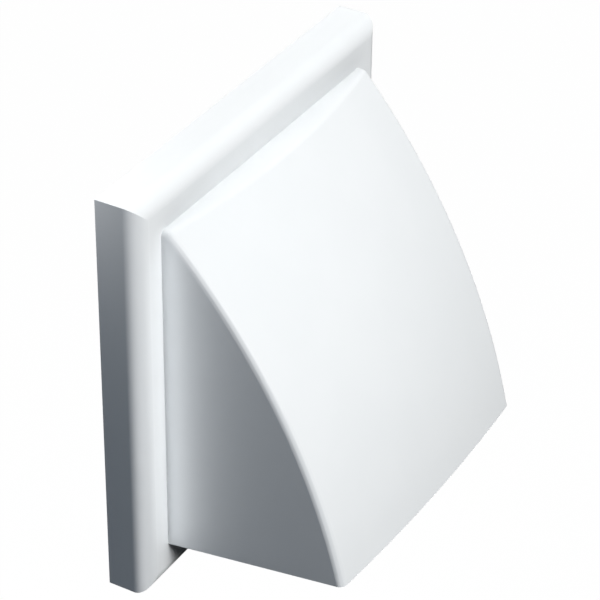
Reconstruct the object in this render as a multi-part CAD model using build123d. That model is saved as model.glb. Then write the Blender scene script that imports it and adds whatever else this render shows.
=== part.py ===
from build123d import *
import math
import os

os.makedirs("parts", exist_ok=True)

# All lengths are in millimetres and all angles in degrees.
# The wall is the plane y = 0 and the duct runs along Y through the origin.
# The hood stands out towards -Y, the spigot goes into the wall towards +Y and Z is up.
# A "depth" is a distance in front of the wall.

# Flange of the cowl
flange_width = 154.0
flange_height = 154.0
flange_depth = 15.9
flange_edge_radius = 5.9
cowl_wall = 2.2

# Hood of the cowl
hood_root_width = 128.1
hood_side_draft = 2.75
hood_top_height = 63.4
hood_mouth_drop = 62.2
hood_mouth_rise = 6.8
hood_projection = 85.0
hood_brow_depth = 24.9
hood_front_radius = 258.0
hood_brow_bow = 4.8
hood_lip_bow = 2.3
hood_edge_radius = 2.6
hood_corner_ease = 0.2
hood_sections = 9
hood_corner_parts = 3
opening_sill = 2.4

# Spacer ribs and clip catches inside the flange
spacer_thickness = 1.8
spacer_reach = 6.0
spacer_spacing = 44.0
catch_length = 14.0
catch_height = 2.5
catch_lead_in = 1.2
catch_clearance = 0.4
catch_lift = 0.7

# Base plate
base_clearance = 0.4
base_thickness = 2.5
base_corner_radius = 1.5
upstand_thickness = 1.8
upstand_height = 3.0
brace_thickness = 1.6
brace_height = 2.5

# Spigot and the collar that the flap closes on
airway_diameter = 94.0
spigot_wall = 2.0
spigot_length = 15.0
spigot_lead_length = 3.0
spigot_lead_depth = 0.75
collar_width = 3.5
collar_height = 4.0

# Wall screws
screw_spacing = 132.0
screw_hole_diameter = 4.5
screw_head_diameter = 8.6
screw_boss_diameter = 11.0
screw_boss_height = 2.0

# Snap hooks that hold the cowl
hook_spacing = 70.0
hook_length = 12.0
hook_thickness = 1.6
hook_gap = 0.6
hook_nose_reach = 1.4
hook_nose_land = 0.6
hook_nose_height = 2.6
hook_play = 0.1

# Foam ring on the collar
seal_thickness = 1.8
seal_inset = 0.5

# Flap
flap_thickness = 1.6
flap_overlap = 1.5
flap_corner_radius = 5.0
flap_seat_gap = 0.2
flap_rim_width = 1.6
flap_rim_height = 1.4
flap_rim_inset = 1.0
flap_rib_thickness = 1.2
flap_rib_height = 1.0
flap_rib_spacing = 34.0

# Hinge
rod_diameter = 2.0
rod_clearance = 0.06
rod_end_reach = 0.8
rod_chamfer = 0.25
hinge_wall = 1.7
hinge_rise = 4.0
hinge_setback = 1.1
lug_spacing = 94.0
lug_length = 5.0
lug_foot = 9.0
knuckle_length = 8.0
knuckle_gap = 0.3

# How far a cut or a root runs past the face that it meets
overrun = 1.0

# Places that follow from the sizes above
tray_half_width = flange_width / 2 - cowl_wall
tray_half_height = flange_height / 2 - cowl_wall
tray_front = flange_depth - cowl_wall
base_half_width = tray_half_width - base_clearance
base_half_height = tray_half_height - base_clearance
upstand_front = base_thickness + upstand_height
airway_radius = airway_diameter / 2
spigot_radius = airway_radius + spigot_wall
collar_radius = airway_radius + collar_width
collar_front = base_thickness + collar_height
seal_front = collar_front + seal_thickness
flap_back = seal_front + flap_seat_gap
flap_front = flap_back + flap_thickness
flap_half = collar_radius + flap_overlap
hinge_height = flap_half + hinge_rise
hinge_depth = flap_back - hinge_setback
hinge_radius = rod_diameter / 2 + hinge_wall
lip_height = hood_mouth_rise - hood_mouth_drop
mouth_slope = hood_mouth_rise / (hood_projection - flange_depth)
hook_face = base_half_width - upstand_thickness - hook_gap
catch_back = upstand_front + catch_lift
catch_front = catch_back + catch_height
nose_back = catch_front + hook_play
nose_front = nose_back + hook_nose_height
screw_boss_front = base_thickness + screw_boss_height

# Drawing planes: local x and y are X and Z, depth and Z, X and depth, Z and depth
front_view = Plane.XZ
side_view = Plane(origin=(0, 0, 0), x_dir=(0, -1, 0), z_dir=(-1, 0, 0))
plan_view = Plane(origin=(0, 0, 0), x_dir=(1, 0, 0), z_dir=(0, 0, -1))
height_view = Plane(origin=(0, 0, 0), x_dir=(0, 0, 1), z_dir=(1, 0, 0))


def front_slab(sketch, start, end):
    """A sketch drawn as seen from the front, made solid from one depth to another."""
    return extrude(front_view.offset(start) * sketch, end - start, dir=(0, -1, 0))


def side_slab(sketch, middle, length):
    """A sketch drawn as seen from the left side, made solid along X about x = middle."""
    return Pos(middle, 0, 0) * extrude(side_view * sketch, length / 2, both=True)


def plan_slab(sketch, middle, length):
    """A sketch drawn as seen from above, made solid along Z about z = middle."""
    return Pos(0, 0, middle) * extrude(plan_view * sketch, length / 2, both=True)


def polygon(*points):
    """A closed flat face through the points."""
    return make_face(Polyline(*points, close=True))


def box(x_range, depth_range, z_range):
    """A block between two values of X, of depth and of Z."""
    width = x_range[1] - x_range[0]
    height = z_range[1] - z_range[0]
    sketch = Pos(x_range[0] + width / 2, z_range[0] + height / 2) * Rectangle(width, height)
    return front_slab(sketch, depth_range[0], depth_range[1])


def flange_block(inset, back):
    """The flange's outer form, taken in by inset, with its front edges rounded and mitred."""
    front = flange_depth - inset
    width = flange_width - 2 * inset
    height = flange_height - 2 * inset
    middle = (front + back) / 2

    def section(span):
        outline = Pos(0, middle) * Rectangle(span, front - back)
        return fillet(outline.vertices().group_by(Axis.Y)[-1], flange_edge_radius - inset)

    across = extrude(plan_view * section(width), height / 2, both=True)
    upright = extrude(height_view * section(height), width / 2, both=True)
    return across & upright


# Centre of the arc that the hood's front follows in the middle plane. It passes through the brow, where the
# front meets the flat top, and through the lip, and its centre is on the wall side of that chord.
chord_depth = hood_projection - hood_brow_depth
chord_height = lip_height - hood_top_height
chord = math.hypot(chord_depth, chord_height)
chord_to_centre = math.sqrt(hood_front_radius**2 - (chord / 2) ** 2)
arc_depth = (hood_brow_depth + hood_projection) / 2 + chord_to_centre * chord_height / chord
arc_height = (hood_top_height + lip_height) / 2 - chord_to_centre * chord_depth / chord
brow_angle = math.atan2(hood_top_height - arc_height, hood_brow_depth - arc_depth)
lip_angle = math.atan2(lip_height - arc_height, hood_projection - arc_depth)


def round_front(section, radius):
    """The section with its two front corners rounded, each by a few arcs so that lofted strips stay narrow."""
    edges = []
    for edge in fillet(section.vertices().group_by(Axis.Y)[-1], radius).edges():
        parts = 1
        if edge.geom_type == GeomType.CIRCLE and edge.radius < 2 * radius:
            parts = hood_corner_parts
        for i in range(parts):
            edges.append(edge.trim(i / parts, (i + 1) / parts))
    return make_face(edges)


def hood_section(angle, inset, root, edge_radius):
    """The hood's section in a plane that is square to the front's arc, taken in by inset.

    Local x is X and local y is the distance from the arc's centre. The sides lean in by the draft, and the
    front is an arc whose bow changes evenly with the angle, from the brow to the lip.
    """
    lean = math.tan(math.radians(hood_side_draft))
    front = hood_front_radius - inset

    def half_width(reach, wall):
        depth = arc_depth + reach * math.cos(angle)
        return hood_root_width / 2 - (depth - flange_depth) * lean - wall / math.cos(math.radians(hood_side_draft))

    share = (angle - lip_angle) / (brow_angle - lip_angle)
    bow = hood_lip_bow + share * (hood_brow_bow - hood_lip_bow)
    half_span = half_width(hood_front_radius - bow, 0)
    bow_radius = (half_span**2 + bow**2) / (2 * bow) - inset
    side_front = front - bow
    for _ in range(8):
        side_front = front - bow_radius + math.sqrt(bow_radius**2 - half_width(side_front, inset) ** 2)
    front_half = half_width(side_front, inset)
    root_half = half_width(root, inset)
    outline = ThreePointArc((-front_half, side_front), (0, front), (front_half, side_front))
    outline += Polyline(
        (front_half, side_front), (root_half, root), (-root_half, root), (-front_half, side_front)
    )
    face = make_face(outline)
    if edge_radius > 0:
        face = round_front(face, edge_radius)
    plane = Plane(
        origin=(0, -arc_depth, arc_height),
        x_dir=(1, 0, 0),
        z_dir=(0, -math.sin(angle), -math.cos(angle)),
    )
    return plane * face


def hood_block(inset, back, low, edge_radius):
    """The hood's form above z = low, taken in by inset, lofted along the arc of its front and cut flat on top."""
    top = hood_top_height - inset
    high_angle = math.atan2(top - arc_height, back - overrun - arc_depth)
    low_angle = math.atan2(low - overrun - arc_height, hood_projection - arc_depth)
    root = (back - overrun - arc_depth) / math.cos(min(0, low_angle))
    sections = []
    for i in range(hood_sections):
        angle = low_angle + (high_angle - low_angle) * i / (hood_sections - 1)
        sections.append(hood_section(angle, inset, root, edge_radius))
    block = loft(sections)
    return block & box((-hood_root_width, hood_root_width), (back, hood_projection + overrun), (low, top))


# Cowl: flange and hood, hollowed from the back and open at the bottom of the hood
hood_low = -hood_mouth_drop - overrun
hood = hood_block(0, 0, hood_low, hood_edge_radius)
edges_from_front = hood.edges().group_by(Axis.Z)[-1].sort_by(Axis.Y)
hood = fillet(edges_from_front[:-1], hood_edge_radius - hood_corner_ease)
hood -= box(
    (-hood_root_width, hood_root_width),
    (-overrun, tray_front + cowl_wall / 2),
    (hood_low - overrun, hood_top_height + overrun),
)
mouth_end = hood_projection + overrun
below_mouth = polygon(
    (flange_depth, -hood_mouth_drop),
    (mouth_end, -hood_mouth_drop + mouth_slope * (mouth_end - flange_depth)),
    (mouth_end, 2 * hood_low),
    (0, 2 * hood_low),
    (0, -hood_mouth_drop),
)
hood -= side_slab(below_mouth, 0, 2 * hood_root_width)

hollow = hood_block(cowl_wall, tray_front - overrun, hood_low, 0)
hollow -= box(
    (-hood_root_width, hood_root_width),
    (0, flange_depth),
    (2 * hood_low, opening_sill - hood_mouth_drop),
)
cowl = flange_block(0, 0) + hood - flange_block(cowl_wall, -overrun) - hollow

for x in (-spacer_spacing, 0, spacer_spacing):
    for side in (-1, 1):
        ends = sorted((side * (tray_half_height - spacer_reach), side * (tray_half_height + cowl_wall / 2)))
        spacer = box(
            (x - spacer_thickness / 2, x + spacer_thickness / 2),
            (upstand_front, tray_front + cowl_wall / 2),
            ends,
        )
        cowl += spacer & flange_block(cowl_wall / 2, 0)

for side in (-1, 1):
    catch = polygon(
        (side * (tray_half_width + cowl_wall / 2), catch_back),
        (side * tray_half_width, catch_back),
        (side * (hook_face + catch_clearance), catch_back + catch_lead_in),
        (side * (hook_face + catch_clearance), catch_front),
        (side * (tray_half_width + cowl_wall / 2), catch_front),
    )
    for z in (-hook_spacing / 2, hook_spacing / 2):
        cowl += plan_slab(catch, z, catch_length)


# Base plate: plate with upstand, turned spigot and collar, bosses, braces, hooks and hinge lugs
plate_outline = RectangleRounded(2 * base_half_width, 2 * base_half_height, base_corner_radius)
upstand_inside = Rectangle(
    2 * (base_half_width - upstand_thickness), 2 * (base_half_height - upstand_thickness)
)
base_plate = front_slab(plate_outline, 0, base_thickness)
base_plate += front_slab(plate_outline - upstand_inside, 0, upstand_front)

screw_places = GridLocations(screw_spacing, screw_spacing, 2, 2)
boss_distance = screw_spacing / 2 * math.sqrt(2)
for place in screw_places:
    base_plate += front_slab(place * Circle(screw_boss_diameter / 2), 0, screw_boss_front)
brace_start = (airway_radius + collar_radius) / 2
brace_end = boss_distance - screw_hole_diameter
brace = Pos((brace_start + brace_end) / 2, 0) * Rectangle(brace_end - brace_start, brace_thickness)
for turn in (45, 135, 225, 315):
    base_plate += front_slab(Rot(0, 0, turn) * brace, 0, base_thickness + brace_height)

head_depth = (screw_head_diameter - screw_hole_diameter) / 2
for place in screw_places:
    base_plate -= front_slab(place * Circle(screw_hole_diameter / 2), -overrun, screw_boss_front + overrun)
    countersink = Cone(
        screw_hole_diameter / 2,
        screw_head_diameter / 2,
        head_depth,
        align=(Align.CENTER, Align.CENTER, Align.MIN),
    )
    base_plate -= front_view.offset(screw_boss_front - head_depth) * place * countersink

spigot = polygon(
    (airway_radius, -collar_front),
    (collar_radius, -collar_front),
    (collar_radius, -base_thickness / 2),
    (spigot_radius, -base_thickness / 2),
    (spigot_radius, spigot_length - spigot_lead_length),
    (spigot_radius - spigot_lead_depth, spigot_length),
    (airway_radius, spigot_length),
)
base_plate -= front_slab(Circle((airway_radius + spigot_radius) / 2), -overrun, collar_front)
base_plate += revolve(spigot, Axis.Y)

for side in (-1, 1):
    hook = polygon(
        (side * (hook_face - hook_thickness), base_thickness / 2),
        (side * hook_face, base_thickness / 2),
        (side * hook_face, nose_back),
        (side * (hook_face + hook_nose_reach), nose_back),
        (side * (hook_face + hook_nose_reach), nose_back + hook_nose_land),
        (side * hook_face, nose_front),
        (side * (hook_face - hook_thickness), nose_front),
    )
    for z in (-hook_spacing / 2, hook_spacing / 2):
        base_plate += plan_slab(hook, z, hook_length)

hinge_centre = (hinge_depth, hinge_height)
lug_root = Line(
    (base_thickness / 2, hinge_height - lug_foot / 2), (base_thickness / 2, hinge_height + lug_foot / 2)
)
lug = make_hull((Pos(*hinge_centre) * Circle(hinge_radius)).edges() + lug_root.edges())
rod_hole = Pos(*hinge_centre) * Circle(rod_diameter / 2)
for side in (-1, 1):
    base_plate += side_slab(lug - rod_hole, side * lug_spacing / 2, lug_length)


# Flap: plate with a raised rim and ribs on its front, and two hinge knuckles
flap_outline = RectangleRounded(2 * flap_half, 2 * flap_half, flap_corner_radius)
rim_half = flap_half - flap_rim_inset
rim_inner_half = rim_half - flap_rim_width
rim_outline = RectangleRounded(2 * rim_half, 2 * rim_half, flap_corner_radius - flap_rim_inset)
rim_inside = RectangleRounded(
    2 * rim_inner_half, 2 * rim_inner_half, flap_corner_radius - flap_rim_inset - flap_rim_width
)
flap = front_slab(flap_outline, flap_back, flap_front)
flap += front_slab(rim_outline - rim_inside, flap_back, flap_front + flap_rim_height)
rib = Rectangle(flap_rib_thickness, 2 * rim_half - flap_rim_width)
ribs = Sketch() + [Pos(x, 0) * rib for x in (-flap_rib_spacing / 2, flap_rib_spacing / 2)]
ribs += [Rot(0, 0, 90) * Pos(x, 0) * rib for x in (-flap_rib_spacing / 2, flap_rib_spacing / 2)]
flap += front_slab(ribs, flap_back, flap_front + flap_rib_height)

knuckle_root = Pos((flap_back + flap_front) / 2, flap_half - flap_rim_inset) * Rectangle(
    flap_thickness, 2 * flap_rim_inset
)
knuckle = make_hull((Pos(*hinge_centre) * Circle(hinge_radius)).edges() + knuckle_root.edges())
knuckle_bore = Pos(*hinge_centre) * Circle(rod_diameter / 2 + rod_clearance)
knuckle_place = lug_spacing / 2 - lug_length / 2 - knuckle_gap - knuckle_length / 2
for side in (-1, 1):
    flap += side_slab(knuckle - knuckle_bore, side * knuckle_place, knuckle_length)


# Hinge rod, pressed into both lugs
hinge_rod = side_slab(rod_hole, 0, lug_spacing + lug_length + 2 * rod_end_reach)
hinge_rod = chamfer(hinge_rod.edges(), rod_chamfer)


# Foam ring on the collar
seal_outline = Circle(collar_radius - seal_inset) - Circle(airway_radius + seal_inset)
flap_seal = front_slab(seal_outline, collar_front, seal_front)


pieces = {
    "cowl": cowl,
    "base_plate": base_plate,
    "flap": flap,
    "hinge_rod": hinge_rod,
    "flap_seal": flap_seal,
}
for name, piece in pieces.items():
    export_step(piece, f"parts/{name}.step")
    box_size = piece.bounding_box().size
    print(
        f"{name}: {len(piece.solids())} solid, volume {piece.volume / 1000:.2f} cm3, "
        f"box {box_size.X:.2f} x {box_size.Y:.2f} x {box_size.Z:.2f} mm"
    )
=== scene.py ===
# %% [markdown]
# # A wall vent with a hood and a gravity flap
#
# The object is a white plastic terminal for a 100 mm duct: a square flange on the wall, a bowed hood that
# is open at the bottom and, hidden behind it, a flap that hangs on a steel rod and falls shut on a foam
# ring. The rigid solids come from CAD and keep their shapes. This lesson gives them their finishes, remakes
# the one soft piece, and sets up a small studio with soft boxes and a long lens.

import bpy
import numpy as np
from mathutils import Matrix, Vector


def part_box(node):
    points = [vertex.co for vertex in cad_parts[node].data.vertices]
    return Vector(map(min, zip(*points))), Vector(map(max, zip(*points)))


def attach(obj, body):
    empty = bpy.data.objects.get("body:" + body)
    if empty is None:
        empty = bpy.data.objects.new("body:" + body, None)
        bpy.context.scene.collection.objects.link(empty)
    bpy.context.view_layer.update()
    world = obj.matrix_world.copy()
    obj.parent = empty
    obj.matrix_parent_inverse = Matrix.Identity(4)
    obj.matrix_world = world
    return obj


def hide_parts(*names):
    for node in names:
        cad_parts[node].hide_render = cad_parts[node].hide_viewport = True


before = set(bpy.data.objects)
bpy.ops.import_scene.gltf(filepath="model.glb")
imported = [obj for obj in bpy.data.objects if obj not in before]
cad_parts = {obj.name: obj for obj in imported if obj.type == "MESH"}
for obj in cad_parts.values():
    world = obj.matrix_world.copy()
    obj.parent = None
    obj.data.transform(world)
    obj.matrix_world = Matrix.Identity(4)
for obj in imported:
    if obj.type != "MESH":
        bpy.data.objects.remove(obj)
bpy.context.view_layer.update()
MM = 0.001
print("solids:", ", ".join(sorted(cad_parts)))

# %% [markdown]
# ## Shader maths as Python
#
# A finish is a graph of nodes. Placing Math nodes one by one hides the sum that they work out, so a small
# class wraps a socket and overloads the operators: `1 - mask * 0.2` then adds its nodes by itself. Every
# other node comes from one method, which sets the node's options first and fills or links its sockets after.


# %% The wrapper for sockets
class Flow:
    """One output socket of a graph. Sums on it add Math nodes and give a new Flow."""

    def __init__(self, graph, socket):
        self.graph = graph
        self.socket = socket

    def math(self, operation, *values):
        return self.graph.add("ShaderNodeMath", {"operation": operation}, dict(enumerate(values)))

    def __add__(self, other):
        return self.math("ADD", self, other)

    def __radd__(self, other):
        return self.math("ADD", other, self)

    def __sub__(self, other):
        return self.math("SUBTRACT", self, other)

    def __rsub__(self, other):
        return self.math("SUBTRACT", other, self)

    def __mul__(self, other):
        return self.math("MULTIPLY", self, other)

    def __rmul__(self, other):
        return self.math("MULTIPLY", other, self)

    def least(self, other):
        return self.math("MINIMUM", self, other)

    def most(self, other):
        return self.math("MAXIMUM", self, other)

    def step(self, low, high):
        """0 below low, 1 above high, and a smooth S between them."""
        return self.graph.add(
            "ShaderNodeMapRange",
            {"interpolation_type": "SMOOTHSTEP"},
            {"Value": self, "From Min": low, "From Max": high},
        )


# %% The graph
class Graph:
    """The empty node tree of a new material or world."""

    def __init__(self, owner):
        owner.use_nodes = True
        self.tree = owner.node_tree
        self.tree.nodes.clear()

    def add(self, kind, options=None, inputs=None, output=0):
        """Adds a node, sets its options, fills or links its inputs, and returns one of its outputs."""
        node = self.tree.nodes.new(kind)
        for name, value in (options or {}).items():
            setattr(node, name, value)
        for name, value in (inputs or {}).items():
            if isinstance(value, Flow):
                self.tree.links.new(value.socket, node.inputs[name])
            else:
                node.inputs[name].default_value = value
        return Flow(self, node.outputs[output]) if node.outputs else None

    def place(self):
        """The point on the piece, in metres."""
        return self.add("ShaderNodeTexCoord", output="Object")

    def noise(self, point, size, detail, stretch=(1, 1, 1)):
        """Noise from 0 to 1 with grains of a size in metres, longer along an axis with a small stretch."""
        scales = [share / size for share in stretch]
        scaled = self.add("ShaderNodeVectorMath", {"operation": "MULTIPLY"}, {0: point, 1: scales})
        return self.add("ShaderNodeTexNoise", inputs={"Vector": scaled, "Scale": 1.0, "Detail": detail})

    def bump(self, height, depth, strength=1.0):
        """A normal from a height map that is so many metres deep."""
        return self.add("ShaderNodeBump", inputs={"Strength": strength, "Distance": depth, "Height": height})

    def blend(self, mask, first, second):
        """A colour between two colours."""
        return self.add(
            "ShaderNodeMix",
            {"data_type": "RGBA"},
            {"Factor": mask, 6: (*first, 1), 7: (*second, 1)},
            output=2,
        )

    def surface(self, **values):
        """A Principled shader on the material's output, with its sockets named in small letters."""
        named = {}
        for name, value in values.items():
            named[name.replace("_", " ").title().replace("Ior", "IOR")] = value
        shader = self.add("ShaderNodeBsdfPrincipled", inputs=named)
        self.add("ShaderNodeOutputMaterial", inputs={"Surface": shader})


print("shader helpers ready")

# %% [markdown]
# ## White moulded plastic
#
# The cowl, the plate and the flap are injection mouldings. The tool's face leaves a satin grain finer than
# a quarter of a millimetre, and the melt leaves very slow changes of tone and gloss. A picture of plastic
# would have to be wrapped round every wall. Noise in the piece's own space needs no wrapping and has no
# seams, so one function builds it, and the three pieces differ only in their numbers.

# %% The plastic
FLOW_MARK = 28 * MM
GLOSS_PATCH = 6 * MM
TOOL_GRAIN = 0.22 * MM
GLOSS_CHANGE = 0.1
PLASTIC_SPECULAR = 0.2


def moulded_plastic(name, light, shade, roughness, grain_depth):
    """Two close tones by slow noise, roughness by middle noise, and a bump of fine grain."""
    material = bpy.data.materials.new(name)
    graph = Graph(material)
    point = graph.place()
    flow_marks = graph.noise(point, FLOW_MARK, 3)
    gloss = graph.noise(point, GLOSS_PATCH, 2)
    grain = graph.noise(point, TOOL_GRAIN, 1.5)
    graph.surface(
        base_color=graph.blend(flow_marks.step(0.35, 0.65), light, shade),
        roughness=roughness + (gloss - 0.5) * GLOSS_CHANGE,
        normal=graph.bump(grain, grain_depth),
        specular_ior_level=PLASTIC_SPECULAR,
    )
    return material


def dress(node_name, material):
    """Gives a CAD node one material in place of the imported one."""
    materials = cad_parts[node_name].data.materials
    materials.clear()
    materials.append(material)
    print(material.name, "on", node_name)


COWL_TONES = (0.835, 0.857, 0.868), (0.825, 0.848, 0.859)
BASE_TONES = (0.84, 0.85, 0.845), (0.81, 0.82, 0.815)
FLAP_TONES = (0.87, 0.88, 0.88), (0.85, 0.86, 0.86)
dress("cowl", moulded_plastic("cowl_satin_white", *COWL_TONES, 0.47, 0.002 * MM))
dress("base_plate", moulded_plastic("base_matt_white", *BASE_TONES, 0.58, 0.006 * MM))
dress("flap", moulded_plastic("flap_white", *FLAP_TONES, 0.5, 0.004 * MM))

# %% [markdown]
# ## The drawn steel rod
#
# The flap swings on a rod of drawn wire. Drawing leaves long fine scratches. Anisotropic gloss could stand
# for them, but it shows no single scratch, so the noise is stretched along the rod instead: its grains are
# hundreds of times longer than they are wide.

# %% The steel
SCRATCH_WIDTH = 0.12 * MM
SCRATCH_STRETCH = (0.004, 1, 1)
SCRATCH_DEPTH = 0.002 * MM
TARNISH_PATCH = 7 * MM
BRIGHT_STEEL = (0.63, 0.63, 0.62)
DULL_STEEL = (0.55, 0.545, 0.53)

rod_steel = bpy.data.materials.new("drawn_steel")
graph = Graph(rod_steel)
point = graph.place()
scratches = graph.noise(point, SCRATCH_WIDTH, 2, SCRATCH_STRETCH)
tarnish = graph.noise(point, TARNISH_PATCH, 3)
graph.surface(
    base_color=graph.blend(tarnish.step(0.4, 0.7), BRIGHT_STEEL, DULL_STEEL),
    metallic=1.0,
    roughness=0.24 + scratches * 0.2,
    normal=graph.bump(scratches, SCRATCH_DEPTH),
)
dress("hinge_rod", rod_steel)

# %% [markdown]
# ## The foam ring
#
# A die-cut ring of closed-cell foam lies on the collar, so the flap falls shut without a clack. The press
# pinches foam while it cuts, so the cut edges are hollow and the corners soft. A cylinder with a bevel would
# give the corners but not the hollow, so the ring is a profile carried round the duct's axis, worked out
# with numpy.

# %% The ring's surface
CORNER_POWER = 0.3
PINCH = 0.2
RIPPLE = 0.015 * MM


def soft_corner(value):
    """sign(v) * |v| ** 0.3, which squares a circle but leaves its corners round."""
    return np.sign(value) * np.abs(value) ** CORNER_POWER


def ring_surface(inner, outer, back, front, turns, around):
    """Carries a soft rectangle round the Y axis.

    At angle t the profile is the superellipse c = soft(cos t), s = soft(sin t). Its depth is
    middle + s * half the depth. Its radius is middle + c * half the width * (1 - 0.2 * (1 - s ** 2)),
    which is the pinch of the cut. On the front half two slow sine waves sink the face by up to 0.06 mm.
    """
    t = np.linspace(0, 2 * np.pi, around, endpoint=False)
    turn = np.linspace(0, 2 * np.pi, turns, endpoint=False)[:, None]
    c = soft_corner(np.cos(t))
    s = soft_corner(np.sin(t))
    radius = (inner + outer) / 2 + c * (outer - inner) / 2 * (1 - PINCH * (1 - s**2))
    depth = (back + front) / 2 + s * (front - back) / 2
    waves = RIPPLE * (np.sin(9 * turn) + np.sin(14 * turn + 1) - 2)
    y = -(depth + np.clip(s, 0, 1) * waves)
    return np.stack([radius * np.cos(turn), y, radius * np.sin(turn)], axis=-1)


def closed_grid(points, name):
    """A mesh of quads over a grid that closes in both directions, with its faces outwards."""
    rows, columns = points.shape[:2]
    row, column = np.meshgrid(np.arange(rows), np.arange(columns), indexing="ij")
    next_row, next_column = (row + 1) % rows, (column + 1) % columns
    ring = [(row, column), (next_row, column), (next_row, next_column), (row, next_column)]
    faces = np.stack([a * columns + b for a, b in ring], axis=-1).reshape(-1, 4)
    mesh = bpy.data.meshes.new(name)
    mesh.from_pydata(points.reshape(-1, 3).tolist(), [], faces.tolist())
    mesh.shade_smooth()
    piece = bpy.data.objects.new(name, mesh)
    bpy.context.scene.collection.objects.link(piece)
    return piece


# %% The ring
SEAL_WIDTH = 2.5 * MM
RING_TURNS = 360
RING_AROUND = 40

seal_low, seal_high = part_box("flap_seal")
seal_radius = seal_high[0]
ring_points = ring_surface(
    seal_radius - SEAL_WIDTH, seal_radius, -seal_high[1], -seal_low[1], RING_TURNS, RING_AROUND
)
foam_ring = closed_grid(ring_points, "foam_ring")
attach(foam_ring, "housing")
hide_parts("flap_seal")
print("foam ring:", len(foam_ring.data.polygons), "faces")

# %% [markdown]
# ## Foam
#
# Closed-cell foam shows a skin of small bubbles, some of them cut open. Plain noise would look like felt.
# Voronoi cells a third of a millimetre wide give the bubbles: the distance to a cell's centre is the bump,
# so the middle of a cut-open cell is a hollow, and painted shade makes that middle darker.

# %% The foam
FOAM_CELL = 0.35 * MM
CELL_DEPTH = 0.05 * MM
FOAM_PATCH = 4 * MM
FOAM_SKIN = (0.075, 0.077, 0.08)
# painted shade: the darker colour in the hollow middle of a cut-open cell
PAINTED_CELL_SHADE = (0.028, 0.029, 0.03)

foam = bpy.data.materials.new("closed_cell_foam")
graph = Graph(foam)
point = graph.place()
cells = graph.add(
    "ShaderNodeTexVoronoi", {"feature": "F1"}, {"Vector": point, "Scale": 1 / FOAM_CELL}, output="Distance"
)
patches = graph.noise(point, FOAM_PATCH, 3)
# painted shade in the hollow middle of each cut-open cell, mixed with random darker patches of the foam's
# own tone
cell_shade_mask = 1 - cells.step(0.05, 0.45)
cell_shade_and_patches = (cell_shade_mask * 0.7 + patches * 0.3).least(1)
graph.surface(
    base_color=graph.blend(cell_shade_and_patches, FOAM_SKIN, PAINTED_CELL_SHADE),
    roughness=0.88 + patches * 0.1,
    normal=graph.bump(cells, CELL_DEPTH, 0.8),
)
foam_ring.data.materials.append(foam)
print(foam.name, "on", foam_ring.name)

# %% [markdown]
# ## The studio
#
# The picture is a product shot: a pale floor far below and a pure white ground. Strong lamps on white paper
# would do that in a real studio, but their light would come back up and wash out the shaded side. Here the
# floor and the world are white only for the rays that look at them, straight or through a reflection, and
# dim for the rays that carry light. A tenth of the floor stays plain paper, which takes the shadow.

# %% Floor and world
FLOOR_HEIGHT = -0.9
FLOOR_REACH = 3.0
PAPER_SHARE = 0.1
PAPER_WHITE = 1.1
PAPER_SEEN = (0.8, 0.8, 0.8)
PAPER_DIM = (0.06, 0.06, 0.06)
AIR_COLOUR = (0.5, 0.8, 1, 1)
AIR_DIM = 0.015
PURE_WHITE = (1, 1, 1, 1)
SQUARE = np.array([[-1, -1], [1, -1], [1, 1], [-1, 1]])


def looking_rays(graph):
    """1 for rays from the camera and for mirrored or refracted rays, 0 for the rest."""
    outputs = graph.add("ShaderNodeLightPath").socket.node.outputs
    names = ("Is Camera Ray", "Is Glossy Ray", "Is Transmission Ray")
    camera_ray, mirrored, refracted = (Flow(graph, outputs[name]) for name in names)
    return camera_ray.most(mirrored).most(refracted)


def board(name, corners, material):
    """A flat board with four corners, which belongs to the studio and not to the object."""
    mesh = bpy.data.meshes.new(name)
    mesh.from_pydata(corners.tolist(), [], [(0, 1, 2, 3)])
    mesh.materials.append(material)
    piece = bpy.data.objects.new(name, mesh)
    bpy.context.scene.collection.objects.link(piece)
    return piece


floor_paper = bpy.data.materials.new("floor_paper")
floor_paper.cycles.emission_sampling = "NONE"
graph = Graph(floor_paper)
looking = looking_rays(graph)
paper_tone = graph.blend(looking, PAPER_DIM, PAPER_SEEN)
paper = graph.add("ShaderNodeBsdfDiffuse", inputs={"Color": paper_tone})
white = graph.add("ShaderNodeEmission", inputs={"Color": PURE_WHITE, "Strength": PAPER_WHITE})
ground = graph.add("ShaderNodeMixShader", inputs={0: looking * (1 - PAPER_SHARE), 1: paper, 2: white})
graph.add("ShaderNodeOutputMaterial", inputs={"Surface": ground})
board("floor", np.column_stack([SQUARE * FLOOR_REACH, np.full(4, FLOOR_HEIGHT)]), floor_paper)

studio = bpy.data.worlds.new("studio")
studio.cycles.sampling_method = "NONE"
bpy.context.scene.world = studio
graph = Graph(studio)
dim_air = graph.add("ShaderNodeBackground", inputs={"Color": AIR_COLOUR, "Strength": AIR_DIM})
white_air = graph.add("ShaderNodeBackground", inputs={"Color": PURE_WHITE, "Strength": 1.0})
air = graph.add("ShaderNodeMixShader", inputs={0: looking_rays(graph), 1: dim_air, 2: white_air})
graph.add("ShaderNodeOutputWorld", inputs={"Surface": air})
print("floor at", FLOOR_HEIGHT, "m")

# %% [markdown]
# ## Soft boxes
#
# One lamp at the camera would flatten the hood. Here the key stands in front and above, so the tone of the
# bowed front changes slowly from the brow to the lip. Two lamps high behind light the top faces. A lamp on
# each side keeps the sides from going black. The left one is weak and cool, so the left faces lie in
# blue-grey shade. A small one close by lights the flange's upper left corner.

# %% Soft boxes
HOOD_MIDDLE = np.array([0, -0.03, 0])
FLANGE_CORNER = np.array([-77, -3, 77]) * MM
LAMP_DISTANCE = 0.8
KEY_SIZE = 0.25
FILL_SIZE = 0.35
CORNER_WAY = np.array([-0.5, 0.7, 0.5])
CORNER_SIZE = 30 * MM
CORNER_DISTANCE = 60 * MM
WHITE = (1, 1, 1)
COOL = (0.25, 0.55, 1)


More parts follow.
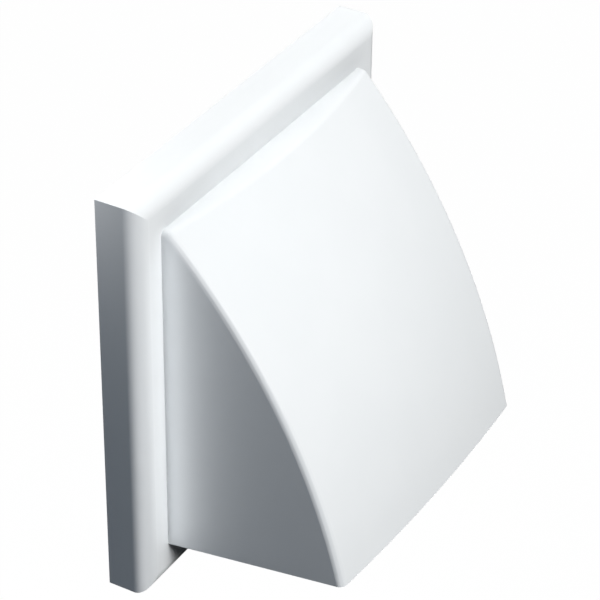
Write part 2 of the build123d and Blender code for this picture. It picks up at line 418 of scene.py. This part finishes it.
def lamp_panel(name, place, towards, width, height, glow, colour=WHITE):
    """A flat lamp that shines against the direction `towards`. Its power is pi * width * height * glow."""
    lamp_data = bpy.data.lights.new(name, "AREA")
    lamp_data.shape = "RECTANGLE"
    lamp_data.size = width
    lamp_data.size_y = height
    lamp_data.energy = np.pi * width * height * glow
    lamp_data.color = colour
    lamp = bpy.data.objects.new(name, lamp_data)
    bpy.context.scene.collection.objects.link(lamp)
    lamp.location = place
    lamp.rotation_euler = Vector(towards).to_track_quat("Z", "Y").to_euler()
    lamp.visible_camera = False
    return lamp


def direction(azimuth, elevation):
    """A unit vector from the hood. Azimuth 0 is in front, and negative angles are to the left."""
    around, above = np.radians([azimuth, elevation])
    return np.array([np.sin(around) * np.cos(above), -np.cos(around) * np.cos(above), np.sin(above)])


def soft_box(name, towards, size, level, colour=WHITE, middle=HOOD_MIDDLE, distance=LAMP_DISTANCE):
    """A square lamp at a distance. A level of 1 makes a white face that looks at it render as white."""
    glow = level * np.pi * distance**2 / size**2
    lamp_panel(name, middle + towards * distance, towards, size, size, glow, colour)
    print("soft box", name, "at level", level)


soft_box("key", direction(-9, 26), KEY_SIZE, 0.905)
soft_box("right", direction(110, 8), FILL_SIZE, 0.5)
soft_box("left", direction(-95, 5), FILL_SIZE, 0.036, COOL)
soft_box("high", direction(180, 82), FILL_SIZE, 0.38)
soft_box("rear", direction(165, 55), FILL_SIZE, 0.28)
soft_box("corner", CORNER_WAY, CORNER_SIZE, 0.55, WHITE, FLANGE_CORNER, CORNER_DISTANCE)

# %% [markdown]
# ## Light lines and corners
#
# A rounded edge shows itself by a thin light line, which is the mirror image of a lamp. A strip that only
# shows in gloss draws a little of it along the flange. It stays weak, because flat faces mirror it to the
# other side, where a strong one would turn them white. Where two faces meet in a corner, each throws light
# on the other. The picture has more of it on the hood's side, and less on the flange above the hood, than a
# plain render works out. So thin panels lie on the faces that throw it: two add light, and one, of negative
# power, takes it away.

# %% A strip and three panels
STRIP_WIDTH = 0.7
STRIP_HEIGHT = 0.35
STRIP_GLOW = 14
FLANGE_FRONT = -15.9
HOOD_TOP = 63.4
SHINE_FORWARDS = (0, 1, 0)
SHINE_UPWARDS = (0, 0, -1)


def corner_panel(name, place, towards, width, height, glow):
    """A thin lamp on a face, which shows in no gloss. The place and the size are in millimetres."""
    panel = lamp_panel(name, np.array(place) * MM, towards, width * MM, height * MM, glow)
    panel.visible_glossy = False
    print("corner panel", name)


strip_way = direction(-60, -36)
strip_place = HOOD_MIDDLE + strip_way * LAMP_DISTANCE
strip = lamp_panel("flange_edge", strip_place, strip_way, STRIP_WIDTH, STRIP_HEIGHT, STRIP_GLOW)
strip.visible_diffuse = False
print("gloss strip", strip.name)
corner_panel("flange_glow", (-72, FLANGE_FRONT - 0.2, 0), SHINE_FORWARDS, 8, 124, 1.95)
corner_panel("ledge_glow", (0, FLANGE_FRONT - 0.05, HOOD_TOP + 5), SHINE_FORWARDS, 128, 9.9, 0.5)
corner_panel("ledge_sink", (0, FLANGE_FRONT - 3.05, HOOD_TOP + 0.02), SHINE_UPWARDS, 124, 6, -0.82)

# %% [markdown]
# ## The camera
#
# A long lens from the upper left shows the front, the left side and the top at once. Its place, turn and
# focal length were solved from the corners of the flange and the hood, so the model covers the picture point
# for point. Aiming at a target would lose the small roll, so the camera's axes are worked out and set.

# %% The camera
CAMERA_PLACE = (-0.64073, -0.40073, 0.49778)
CAMERA_AZIMUTH = -59.927
CAMERA_ELEVATION = 33.592
CAMERA_ROLL = 0.645
LENS = 155.70
SENSOR_WIDTH = 36
NEAR_CLIP = 0.01

azimuth, roll = np.radians([CAMERA_AZIMUTH, CAMERA_ROLL])
right = np.array([np.cos(azimuth), np.sin(azimuth), 0])
back = direction(CAMERA_AZIMUTH, CAMERA_ELEVATION)
up = np.cross(back, right)
camera_right = np.cos(roll) * right + np.sin(roll) * up
camera_up = np.cos(roll) * up - np.sin(roll) * right
camera_matrix = np.eye(4)
camera_matrix[:3] = np.column_stack([camera_right, camera_up, back, CAMERA_PLACE])

camera_data = bpy.data.cameras.new("camera")
camera_data.sensor_width = SENSOR_WIDTH
camera_data.lens = LENS
camera_data.clip_start = NEAR_CLIP
camera = bpy.data.objects.new("camera", camera_data)
bpy.context.scene.collection.objects.link(camera)
camera.matrix_world = Matrix(camera_matrix.tolist())
bpy.context.scene.camera = camera
bpy.context.scene.view_settings.view_transform = "Standard"
print("lens:", LENS, "mm")

# %% [markdown]
# ## A black flag
#
# The corner under the hood is nearly black, because nothing bright is mirrored there. A photographer holds a
# black card where the bright ground would show. The card here stands in the direction that the camera sees
# mirrored in the flange, and the camera itself doesn't see it.

# %% The flag
FLAG_DISTANCE = 0.4
FLAG_HALF = 0.45
DARK_CORNER = np.array([-60, -16, -68]) * MM
FELT_COLOUR = (0.01, 0.01, 0.01, 1)

black_felt = bpy.data.materials.new("black_felt")
graph = Graph(black_felt)
felt = graph.add("ShaderNodeBsdfDiffuse", inputs={"Color": FELT_COLOUR})
graph.add("ShaderNodeOutputMaterial", inputs={"Surface": felt})

mirrored_way = back * (-1, 1, -1)
flag_middle = DARK_CORNER + mirrored_way * FLAG_DISTANCE
flag_across = np.cross(mirrored_way, [0, 0, 1])
flag_across *= FLAG_HALF / np.linalg.norm(flag_across)
flag_upright = np.cross(mirrored_way, flag_across)
flag = board("flag", flag_middle + SQUARE @ np.stack([flag_across, flag_upright]), black_felt)
flag.visible_camera = False
print("flag at", flag_middle.round(3).tolist())
